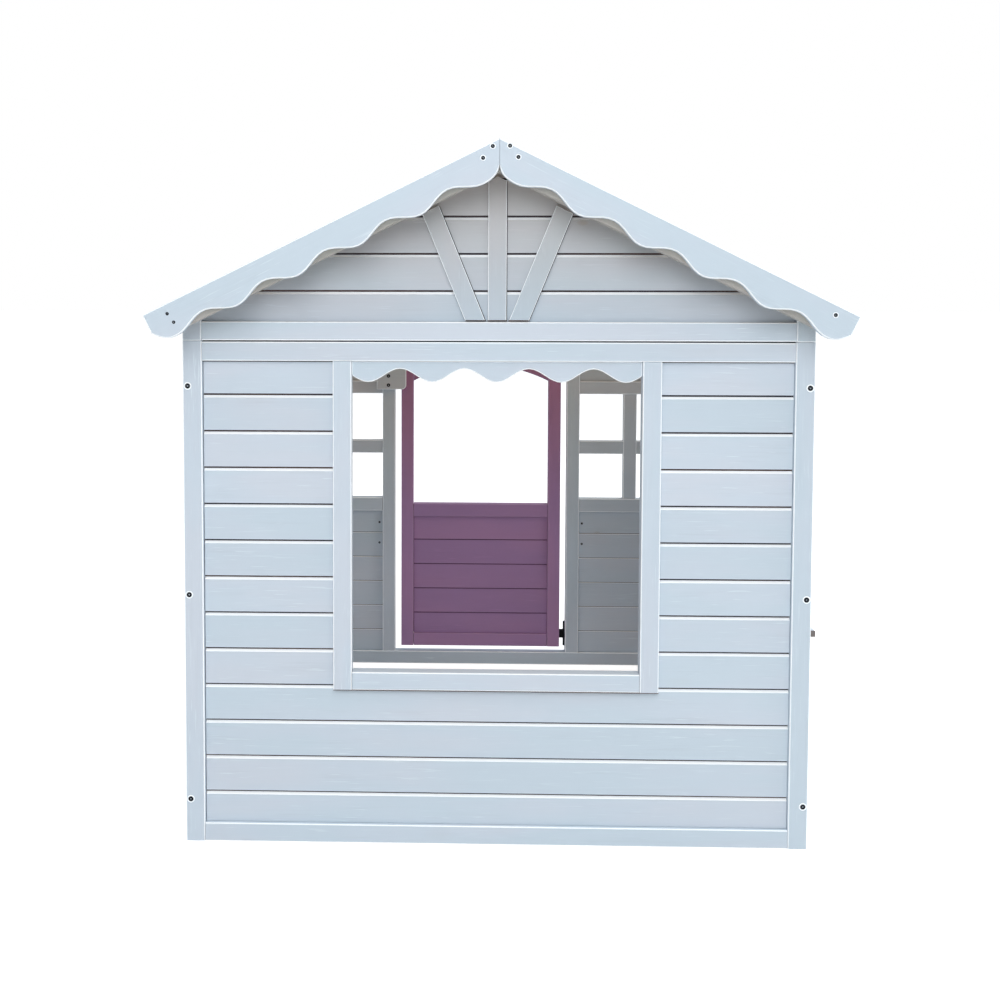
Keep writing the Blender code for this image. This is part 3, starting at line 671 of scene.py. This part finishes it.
def refined(name, node, paint, width, body="house", slot="white_paint", edge_paint=WHITE_HIGHLIGHT_PAINT):
    """The node's own solid with rounded edges, apart from a mitre at the ridge."""
    work = welded(node)
    bmesh.ops.dissolve_limit(work, angle_limit=math.radians(1), verts=work.verts, edges=work.edges)
    work.normal_update()
    weight = work.edges.layers.float.new("bevel_weight_edge")
    for edge in work.edges:
        mitred = "bargeboard" in node and all(abs(v.co.x) < MITRE_REACH for v in edge.verts)
        edge[weight] = 1.0 if edge.calc_face_angle(0.0) > BEVEL_ANGLE and not mitred else 0.0
    piece = mesh_piece(name, work, [paint], body, slot, (node,), smooth_angle=35)
    bevel = soften(piece, width, edge_paint)
    bevel.use_clamp_overlap = False  # the short edges at the mitre would thin the whole bevel


for end in ("front", "back"):
    for side, k in (("left", -1), ("right", 1)):
        refined(f"{end}_scalloped_barge_{side}", f"{end}_bargeboard_{side}", WHITE[SLOPES[k]], BARGE_ROUND)
    refined(f"{end}_rafter_pair", f"{end}_rafters", RAFTER_GREY, ROUND, edge_paint=RAFTER_GREY)
refined("scalloped_valance", "front_valance", WHITE[X], VALANCE_ROUND)
refined("king_strip", "front_king_post", GABLE_WHITE_SHADED[Z], THIN_ROUND)
refined("door_catch_block", "back_door_stop", DOOR_WALL_WHITE_SHADED[X], BLOCK_ROUND)
refined("arched_door_head", "door_head", PURPLE_WITH_PAINTED_SHADE[X], ROUND, "door", "purple_paint", PURPLE_HIGHLIGHT_PAINT)
for side in ("left", "right"):
    refined(f"brace_strip_{side}", "front_brace_" + side, GABLE_WHITE_SHADED[Z], THIN_ROUND)
    refined(f"eaves_plate_timber_{side}", "eaves_plate_" + side, WHITE[Y], ROUND)


# ---- dark strips: painted shade in the open joints and painted shadow beside planted strips ----
STRIP_WIDTH = 0.0017  # width of the painted shadow seen beside a planted strip
STRIP_PROUD = 0.0005  # in front of the boards
STRIP_SUNK = 0.001  # inside the boards
FOOT_HEIGHT = 0.0026
FOOT_PROUD = 0.0004
FOOT_REACH = 0.003  # corners this close to a strip's lowest point belong to its foot


def dark_strip(name, low, high, node):
    timbers(name, [(low, high)], JOINT_SHADE_PAINT, nodes=(node,), edge=STRIP_ROUND)


def planted_strip_shadows(name, node):
    """Painted shadow beside and below a strip that is planted on the gable boards: a dark copy peeks out on
    its right side, and a dark band lies across its foot.
    """
    low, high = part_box(node)
    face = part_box("front_gable_boards")[0].y
    work = welded(node)
    middle = (low.y + high.y) / 2
    for vert in work.verts:
        vert.co.x += STRIP_WIDTH
        vert.co.y = face - STRIP_PROUD if vert.co.y < middle else face + STRIP_SUNK
    mesh_piece(name + "_side", work, [JOINT_SHADE_PAINT], nodes=(node,))
    feet = [v.co.x for v in NODES[node].data.vertices if v.co.z < low.z + FOOT_REACH]
    foot_high = (max(feet), high.y, low.z + FOOT_HEIGHT)
    dark_strip(name + "_foot", (min(feet), low.y - FOOT_PROUD, low.z), foot_high, node)


planted_strip_shadows("king_strip_joint", "front_king_post")
for side in ("left", "right"):
    planted_strip_shadows(f"brace_strip_joint_{side}", "front_brace_" + side)


# ---- square timbers ----
END_GRAIN = 0.9  # a face turned this far along the timber is its sawn end


def square_timber(node):
    low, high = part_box(node)
    size = high - low
    run = max(range(3), key=lambda i: size[i])
    if node == "front_gable_rail":
        low.z += RAIL_SHRINK
    if node == "front_top_rail":
        high.z -= RAIL_SHRINK
    if run < 2:
        low[run] += END_GAP / 2
        high[run] -= END_GAP / 2
    axis = (X, Y, Z)[run]
    purple = node.startswith("door_")
    paint = (PURPLE if purple else WHITE)[axis]
    if "stile" in node:
        paint = PURPLE_WITH_PAINTED_SHADE[Z]
    if node.startswith("back_"):
        paint = DOOR_WALL_WHITE_SHADED[axis]
    body, slot = ("door", "purple_paint") if purple else ("house", "white_paint")
    piece = timbers(node + "_timber", [(low, high)], paint, body, slot, (node,))
    # the counter's end faces take a dark painted shade
    if node == "right_counter":
        piece.data.materials.append(COUNTER_END_SHADE_PAINT)
        for face in piece.data.polygons:
            if abs(face.normal[run]) > END_GRAIN:
                face.material_index = len(piece.data.materials) - 1


# Places of the dark strips that paint shade into the open joints of the front and the door.
RAIL_SHADE_FRONT, RAIL_SHADE_BACK = 0.009, 0.004  # in from the rail's front and back
HEAD_JOINT_PROUD, HEAD_JOINT_HEIGHT = 0.0006, 0.0021  # under the top rail, in front of the boards
FRAME_JOINT_SUNK, FRAME_JOINT_HEIGHT = 0.0004, 0.0017  # under the window, behind the posts' face
JOINT_DEPTH = 0.002  # inside the boards
JOINT_TOP_GAP = 0.0001
PANEL_SHADE_IN = 0.0009  # from the edge of a door stile to the middle of the dark strip
PANEL_SHADE_SIZE = (0.0010, 0.002)  # half its width and half its depth


def rail_gap_shade():
    """A dark strip in the open joint between the top rail and the gable rail: painted shade, where a tongue
    would be.
    """
    low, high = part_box("front_gable_rail")
    low += Vector((END_GAP, RAIL_SHADE_FRONT, -RAIL_SHRINK))
    high = Vector((high.x - END_GAP, high.y - RAIL_SHADE_BACK, low.z + 2 * RAIL_SHRINK))
    dark_strip("front_rail_tongue", low, high, "front_gable_rail")


def front_joints():
    """Painted shade: dark strips in the joints under the top rail and under the window frame."""
    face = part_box("front_boards")[0].y
    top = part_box("front_top_rail")[0].z - JOINT_TOP_GAP
    for side, first, last in (("left", "front_post_left", "front_window_post_left"),
                              ("right", "front_window_post_right", "front_post_right")):
        low = (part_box(first)[1].x + HAIR, face - HEAD_JOINT_PROUD, top - HEAD_JOINT_HEIGHT)
        high = (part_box(last)[0].x - HAIR, face + JOINT_DEPTH, top)
        dark_strip(f"front_head_joint_{side}", low, high, "front_boards")
    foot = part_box("front_window_post_left")[0]
    low = (foot.x, foot.y + FRAME_JOINT_SUNK, foot.z - FRAME_JOINT_HEIGHT)
    high = (-foot.x, face + JOINT_DEPTH, foot.z - JOINT_TOP_GAP)
    dark_strip("front_frame_joint", low, high, "front_boards")


def panel_shade_strips():
    """Painted shade in the gaps between the door's panel and its stiles: a dark strip in each, where a tongue
    would be.
    """
    low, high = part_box("door_boards")
    middle = (low.y + high.y) / 2
    wide, deep = PANEL_SHADE_SIZE
    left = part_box("door_stile_left")[1].x + PANEL_SHADE_IN
    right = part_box("door_stile_right")[0].x - PANEL_SHADE_IN
    shaded_gaps = [((x - wide, middle - deep, low.z), (x + wide, middle + deep, high.z)) for x in (left, right)]
    timbers("door_panel_tongues", shaded_gaps, PURPLE_SHADE_PAINT, "door", "purple_paint", ("door_boards",),
            edge=STRIP_ROUND)


rail_gap_shade()
front_joints()
panel_shade_strips()

SQUARE_ENDINGS = ("_rail", "_sill", "_counter", "_stile_left", "_stile_right")
SQUARE = [name for name in NODES if name.endswith(SQUARE_ENDINGS)]
SQUARE += [name for name in NODES if "_post_" in name or "_sill_" in name]
for name in SQUARE:
    square_timber(name)

for name, piece in NODES.items():
    if not piece.hide_render:
        piece.data.materials.clear()
        piece.data.materials.append(BLACK)


# ---- screws and nails ----
SIDES = 20  # of a round head
TURNS = [2 * math.pi * i / SIDES for i in range(SIDES)]
SUNK = -0.0008  # foot of a head, inside the timber
# A head's profile: the parts of its radius and of its rise.
SHOULDER, CROWN, FLAT = (1.0, 0.35), (0.8, 0.85), (0.55, 1.0)
RECESS = (0.14, 0.34)  # the cross recess: least radius, and what its arms add, as parts of the head's radius
RECESS_TAPER = 0.75
RECESS_FLOOR = -0.0004
RING_PROFILE = ((1.04, -0.0006), (1.04, 0.0003), (1.20, 0.0006), (1.44, 0.0004), (1.62, -0.0006))


def circle(work, radius, z):
    return [work.verts.new((radius * math.cos(t), radius * math.sin(t), z)) for t in TURNS]


def band(work, lower, upper):
    """The faces between two loops of corners."""
    for i in range(SIDES):
        j = (i + 1) % SIDES
        work.faces.new((lower[i], lower[j], upper[j], upper[i]))


def template_mesh(name, work):
    mesh = bpy.data.meshes.new(name)
    work.to_mesh(mesh)
    work.free()
    return mesh


def screw_mesh(radius, rise, recess=True):
    """A shallow domed head with a cross recess, facing +Z."""
    work = bmesh.new()
    loops = [circle(work, radius, SUNK)]
    loops += [circle(work, radius * wide, rise * high) for wide, high in (SHOULDER, CROWN, FLAT)]
    work.faces.new(list(reversed(loops[0])))
    for lower, upper in zip(loops, loops[1:]):
        band(work, lower, upper)
    if recess:
        inner = []
        for turn in TURNS:
            r = radius * (RECESS[0] + RECESS[1] * abs(math.cos(2 * turn)) ** 3)
            inner.append(work.verts.new((r * math.cos(turn), r * math.sin(turn), rise)))
        deep = [work.verts.new((v.co.x * RECESS_TAPER, v.co.y * RECESS_TAPER, RECESS_FLOOR)) for v in inner]
        band(work, loops[-1], inner)
        band(work, inner, deep)
        work.faces.new(deep)
    else:
        work.faces.new(loops[-1])
    bmesh.ops.recalc_face_normals(work, faces=work.faces)
    return template_mesh("screw_template", work)


def ring_mesh(radius):
    """The raised ring of paint round a screw driven through a painted face."""
    work = bmesh.new()
    loops = [circle(work, radius * spread, z) for spread, z in RING_PROFILE]
    for lower, upper in zip(loops, loops[1:] + loops[:1]):
        band(work, lower, upper)
    return template_mesh("ring_template", work)


def copies(template, places, facing):
    """One bmesh with a copy of the template at every place, all facing the same way."""
    work = bmesh.new()
    turn = Vector((0, 0, 1)).rotation_difference(Vector(facing)).to_matrix().to_4x4()
    for place in places:
        spin = Matrix.Rotation(random.uniform(0, math.pi), 4, "Z")
        one = template.copy()
        one.transform(Matrix.Translation(place) @ turn @ spin)
        work.from_mesh(one)
        bpy.data.meshes.remove(one)
    return work


def fixings(name, template, places, facing, paint, body="house", ring=None):
    mesh_piece(name, copies(template, places, facing), [paint], body, "black_hinge", smooth_angle=40)
    if ring:
        rings = copies(ring, places, facing)
        # the rings take the white painted highlight
        mesh_piece(name + "_paint_rings", rings, [WHITE_HIGHLIGHT_PAINT], body, "white_paint", smooth_angle=60)


SCREW_RADIUS = 0.0050
BARGE_SCREW_RADIUS = 0.0036
SMALL_SCREW_RADIUS = 0.0031
NAIL_RADIUS = 0.0026
SCREW_RISE = 0.0006
NAIL_RISE = 0.0004

SCREW = screw_mesh(SCREW_RADIUS, SCREW_RISE)
SCREW_RING = ring_mesh(SCREW_RADIUS)
BARGE_SCREW = screw_mesh(BARGE_SCREW_RADIUS, SCREW_RISE)
BARGE_RING = ring_mesh(BARGE_SCREW_RADIUS)
SMALL_SCREW = screw_mesh(SMALL_SCREW_RADIUS, SCREW_RISE)
NAIL = screw_mesh(NAIL_RADIUS, NAIL_RISE, recess=False)

# Where the screws are, in metres across the house and up.
POST_SCREW_X = HALF_X - 0.0095
POST_SCREW_Z = (0.083, 0.485, 0.889)
BARGE_SCREWS = ((-0.0125, 1.3334), (-0.0300, 1.3122), (0.0187, 1.3340), (0.0340, 1.3136), (0.609, 1.0285))
SMALL_BARGE_SCREWS = ((-0.609, 1.0285), (-0.597, 1.013))
STOP_SCREWS = ((-0.263, 0.831), (-0.263, 0.805))
FLOWER_INNER = tuple((k * 0.290, z) for k in (-1, 1) for z in (0.408, 0.349))
FLOWER_OUTER = tuple((k * x, z) for k in (-1, 1) for x in (0.2885, 0.5555) for z in (0.350, 0.410))
COUNTER_SCREW_IN = 0.014  # from the outside of the wall
COUNTER_SCREW_Y = (-0.395, -0.13, 0.13, 0.395)
PLATE = 0.002  # thickness of the hinges
LEAF_SCREW_IN = 0.010  # from the leaf's far edge
LEAF_SCREW_Z = (-0.026, 0.0, 0.026)  # from the leaf's middle
STRAP_SCREW_X = (0.010, 0.060, 0.115)  # from the strap's end
NAIL_PARTS = (0.28, 0.72)  # the two nails of a roof board, as parts of its width
NAIL_LIMIT = 0.70  # no nails farther up the slope than this
NAIL_IN = 0.014  # from the roof's edges and the walls' faces


def upright(points, y):
    """Places on an upright face at depth y."""
    return [(x, y, z) for x, z in points]


post_screws = [(k * POST_SCREW_X, z) for k in (-1, 1) for z in POST_SCREW_Z]
for end, face, out in (("front", FRONT_Y, -1), ("back", BACK_Y, 1)):
    fixings(f"{end}_post_screws", SCREW, upright(post_screws, face), (0, out, 0), ZINC, ring=SCREW_RING)
for end, face, out in (("front", BARGE[0].y, -1), ("back", -BARGE[0].y, 1)):
    places = upright(BARGE_SCREWS, face)
    fixings(f"{end}_barge_screws", BARGE_SCREW, places, (0, out, 0), ZINC, ring=BARGE_RING)
    places = upright(SMALL_BARGE_SCREWS, face)
    fixings(f"{end}_small_barge_screws", SMALL_SCREW, places, (0, out, 0), ZINC)
stop_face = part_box("back_door_stop")[0].y
fixings("stop_screws", SCREW, upright(STOP_SCREWS, stop_face), (0, -1, 0), ZINC)
board_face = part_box("back_boards_left")[0].y
fixings("flower_box_inner_screws", SMALL_SCREW, upright(FLOWER_INNER, board_face), (0, -1, 0), ZINC)

counter_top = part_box("right_counter")[1].z
counter_screws = [(HALF_X - COUNTER_SCREW_IN, y, counter_top) for y in COUNTER_SCREW_Y]
fixings("counter_screws", SCREW, counter_screws, (0, 0, 1), ZINC)

trough_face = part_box("flower_box_left")[1].y
fixings("flower_box_outer_screws", SMALL_SCREW, upright(FLOWER_OUTER, trough_face), (0, 1, 0), ZINC)

for label in ("low", "high"):
    leaf_low, leaf_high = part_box("hinge_leaf_" + label)
    strap_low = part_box("hinge_strap_" + label)[0]
    mid = (leaf_low.z + leaf_high.z) / 2
    plate = leaf_low.y + PLATE
    leaf_places = [(leaf_high.x - LEAF_SCREW_IN, plate, mid + dz) for dz in LEAF_SCREW_Z]
    fixings(f"hinge_leaf_{label}_screws", SMALL_SCREW, leaf_places, (0, 1, 0), BLACK)
    strap_places = [(strap_low.x + dx, plate, mid) for dx in STRAP_SCREW_X]
    fixings(f"hinge_strap_{label}_screws", SMALL_SCREW, strap_places, (0, 1, 0), BLACK, "door")


def roof_point(k, along, y):
    """A point on a deck's top face, a distance up the slope from its eaves edge."""
    low, high = DECK
    return (k * (high.x - along * COS), y, low.z + DECK_THICKNESS * COS + along * SIN)


def nail_places(k):
    rows = [DECK_BOARD * (i + part) for i in range(DECK_BOARDS) for part in NAIL_PARTS]
    lines = (DECK[0].y + NAIL_IN, FRONT_Y + NAIL_IN, 0.0, BACK_Y - NAIL_IN, DECK[1].y - NAIL_IN)
    return [roof_point(k, along, y) for along in rows if along <= NAIL_LIMIT for y in lines]


for side, k in (("left", -1), ("right", 1)):
    fixings(f"roof_nails_{side}", NAIL, nail_places(k), (k * SIN, 0, COS), ZINC)


# ---- floor and light ----
FLOOR_SIZE = 60.0
FLOOR_DROP = 0.0006  # keeps the floor clear of the house's feet
FLOOR_COLOUR = (0.84, 0.83, 0.82, 1.0)
FLOOR_LIFT = 0.76  # emission that brings the floor up to the white of the backdrop
SKY_COLOUR = (0.84, 0.93, 1.0, 1.0)
SKY_STRENGTH = 0.475
BACKDROP_COLOUR = (1.0, 1.0, 1.0, 1.0)


def make_floor():
    work = bmesh.new()
    bmesh.ops.create_grid(work, x_segments=1, y_segments=1, size=FLOOR_SIZE)
    mesh = template_mesh("floor", work)
    g = Graph("pale_floor")
    g.shader.inputs["Base Color"].default_value = FLOOR_COLOUR
    g.shader.inputs["Roughness"].default_value = 0.9
    seen = g.node("LightPath").outputs["Is Camera Ray"]
    lift = g.node("Emission", links={"Strength": g.maths("MULTIPLY", seen, FLOOR_LIFT)})
    both = g.node("AddShader", links={0: g.shader.outputs[0], 1: lift.outputs[0]})
    g.tree.links.new(both.outputs[0], g.tree.nodes["Material Output"].inputs["Surface"])
    mesh.materials.append(g.material)
    floor = bpy.data.objects.new("floor", mesh)
    floor.location.z = -FLOOR_DROP
    SCENE.collection.objects.link(floor)


LAMPS = (  # name, place, aim, size, power, colour
    ("key", (-0.4, -5.0, 3.6), (0, 0, 0.6), 4.2, 139.0, (1.0, 0.99, 0.98)),
    ("side", (5.0, -0.9, 2.0), (0, 0, 0.6), 2.0, 85.0, (1.0, 1.0, 1.0)),
    ("top", (0.0, -1.4, 5.0), (0, 0, 0.6), 3.0, 50.0, (1.0, 1.0, 1.0)),
    ("rim", (2.6, 4.5, 4.0), (0, 0, 0.6), 3.0, 97.0, (1.0, 1.0, 1.0)),
    ("soffit_glow", (0.0, 0.1, 1.12), (0, 0.1, 0), 0.9, 0.8, (1.0, 0.66, 0.40)),
)


def make_light():
    world = bpy.data.worlds.new("studio")
    world.use_nodes = True
    nodes, links = world.node_tree.nodes, world.node_tree.links
    soft = nodes["Background"]
    soft.inputs["Color"].default_value = SKY_COLOUR
    soft.inputs["Strength"].default_value = SKY_STRENGTH
    seen = nodes.new("ShaderNodeBackground")
    seen.inputs["Color"].default_value = BACKDROP_COLOUR
    seen.inputs["Strength"].default_value = 1.0
    choose = nodes.new("ShaderNodeMixShader")
    path = nodes.new("ShaderNodeLightPath")
    links.new(path.outputs["Is Camera Ray"], choose.inputs[0])
    links.new(soft.outputs[0], choose.inputs[1])
    links.new(seen.outputs[0], choose.inputs[2])
    links.new(choose.outputs[0], nodes["World Output"].inputs["Surface"])
    SCENE.world = world
    for name, place, aim, size, power, colour in LAMPS:
        lamp = bpy.data.lights.new(name, "AREA")
        lamp.shape = "DISK"
        lamp.size = size
        lamp.energy = power
        lamp.color = colour
        lamp_object = bpy.data.objects.new(name, lamp)
        lamp_object.location = place
        lamp_object.visible_camera = False
        line = Vector(aim) - Vector(place)
        lamp_object.rotation_euler = line.to_track_quat("-Z", "Y").to_euler()
        SCENE.collection.objects.link(lamp_object)
    SCENE.view_settings.view_transform = "Standard"


make_floor()
make_light()
